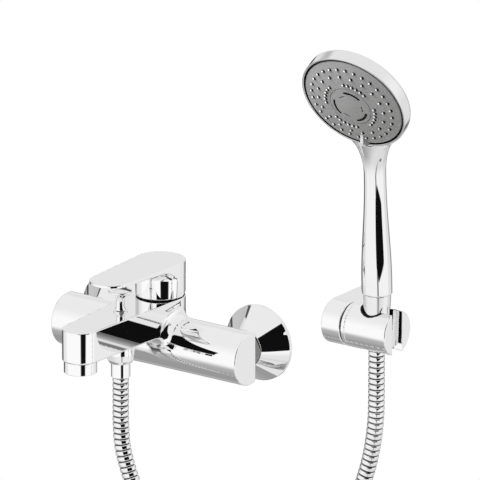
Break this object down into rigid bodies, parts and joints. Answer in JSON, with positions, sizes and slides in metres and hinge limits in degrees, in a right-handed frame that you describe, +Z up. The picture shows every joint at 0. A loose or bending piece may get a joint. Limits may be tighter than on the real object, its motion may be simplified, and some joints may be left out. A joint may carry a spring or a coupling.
{
  "type": "bath shower mixer",
  "caption": "Wall-mounted single-lever bath mixer with a flat spout, pull-up diverter and a hand shower on a ribbed metal hose in a tilting holder.",
  "frame": {"origin": "on the wall face, midway between the two inlet axes", "axes": "+X to the right along the barrel, towards the hand shower; +Y into the wall along the inlets; +Z up"},
  "size_m": [0.3824, 0.1837, 0.5795],
  "materials": {
    "chrome": "polished",
    "hose_metal": "polished, ribbed",
    "brass": "machined",
    "steel": "bright",
    "rubber": "matt",
    "white_plastic": "matt",
    "ceramic": "lapped",
    "grey_plastic": "satin",
    "plug_plastic": "gloss",
    "tie_plastic": "matt"
  },
  "bodies": {
    "mixer": {"wall_union_left": "brass", "wall_union_right": "brass", "wall_flange_left": "chrome", "wall_flange_right": "chrome", "union_nut_left": "chrome", "union_nut_right": "chrome", "inlet_washers": "rubber", "mixer_body": "chrome", "cartridge_seal": "rubber", "cartridge_housing": "white_plastic", "fixed_disc": "ceramic", "cartridge_ring": "brass", "diverter_bush": "chrome", "diverter_spring": "steel", "aerator_housing": "chrome", "aerator_insert": "grey_plastic", "aerator_washer": "rubber", "outlet_nipple": "brass", "dome_nut": "chrome", "hose_washer_mixer": "rubber", "hose_sleeve_mixer": "chrome", "hose_mixer_leg": "hose_metal", "hose_coil": "hose_metal", "hose_handset_leg": "hose_metal", "coil_tie": "tie_plastic", "holder_plate": "steel", "holder_wall_screws": "steel", "holder_bracket": "chrome", "bracket_grub_screw": "steel", "friction_washer": "rubber", "pivot_screw": "steel"},
    "carrier": {"stem_carrier": "white_plastic", "stem_pin": "steel"},
    "lever": {"lever_stem": "brass", "lever_cap": "chrome", "lever_grub_screw": "steel", "lever_plug": "plug_plastic"},
    "slider": {"moving_disc": "ceramic"},
    "diverter": {"diverter_rod": "steel", "diverter_knob": "chrome", "diverter_piston": "brass", "piston_ring": "rubber"},
    "holder": {"holder_swivel": "chrome"},
    "hose_end": {"hose_sleeve_handset": "chrome"},
    "handset": {"cone_nut": "chrome", "hose_washer_handset": "rubber", "handset_insert": "white_plastic", "handset_shell": "chrome", "spray_distributor": "white_plastic", "face_screw": "steel"},
    "spray": {"spray_face": "grey_plastic", "nozzle_mat": "rubber", "spray_centre": "grey_plastic"}
  },
  "joints": [
    {"name": "temperature", "type": "hinge", "parent": "mixer", "child": "carrier", "pos_m": [0, -0.039, 0.044], "axis": [0, 0, 1], "range_deg": [-45, 45]},
    {"name": "flow", "type": "hinge", "parent": "carrier", "child": "lever", "pos_m": [0, -0.039, 0.044], "axis": [-1, 0, 0], "range_deg": [0, 15]},
    {"name": "disc_slide", "type": "slide", "parent": "carrier", "child": "slider", "axis": [0, -1, 0], "range_m": [0, 0.00276]},
    {"name": "diverter_lift", "type": "slide", "parent": "mixer", "child": "diverter", "axis": [0, 0, 1], "range_m": [0, 0.0075], "stiffness_N_per_m": 250, "springref_m": -0.002, "deforming": ["diverter_spring"]},
    {"name": "holder_tilt", "type": "hinge", "parent": "mixer", "child": "holder", "pos_m": [0.226, -0.048, 0.0535], "axis": [1, 0, 0], "range_deg": [-15, 30], "deforming": ["hose_handset_leg"]},
    {"name": "handset_lift", "type": "slide", "parent": "holder", "child": "hose_end", "axis": [0, 0, 1], "range_m": [0, 0.045], "deforming": ["hose_handset_leg"]},
    {"name": "handset_turn", "type": "hinge", "parent": "hose_end", "child": "handset", "pos_m": [0.226, -0.048, 0.07], "axis": [0, 0, 1], "range_deg": [-90, 90]},
    {"name": "spray_select", "type": "hinge", "parent": "handset", "child": "spray", "pos_m": [0.22825, -0.08643, 0.2561], "axis": [0.0518, -0.8851, -0.4625], "range_deg": [-30, 30]}
  ],
  "couplings": [
    {"joint": "disc_slide", "follows": "flow", "m_per_rad": 0.0105}
  ]
}
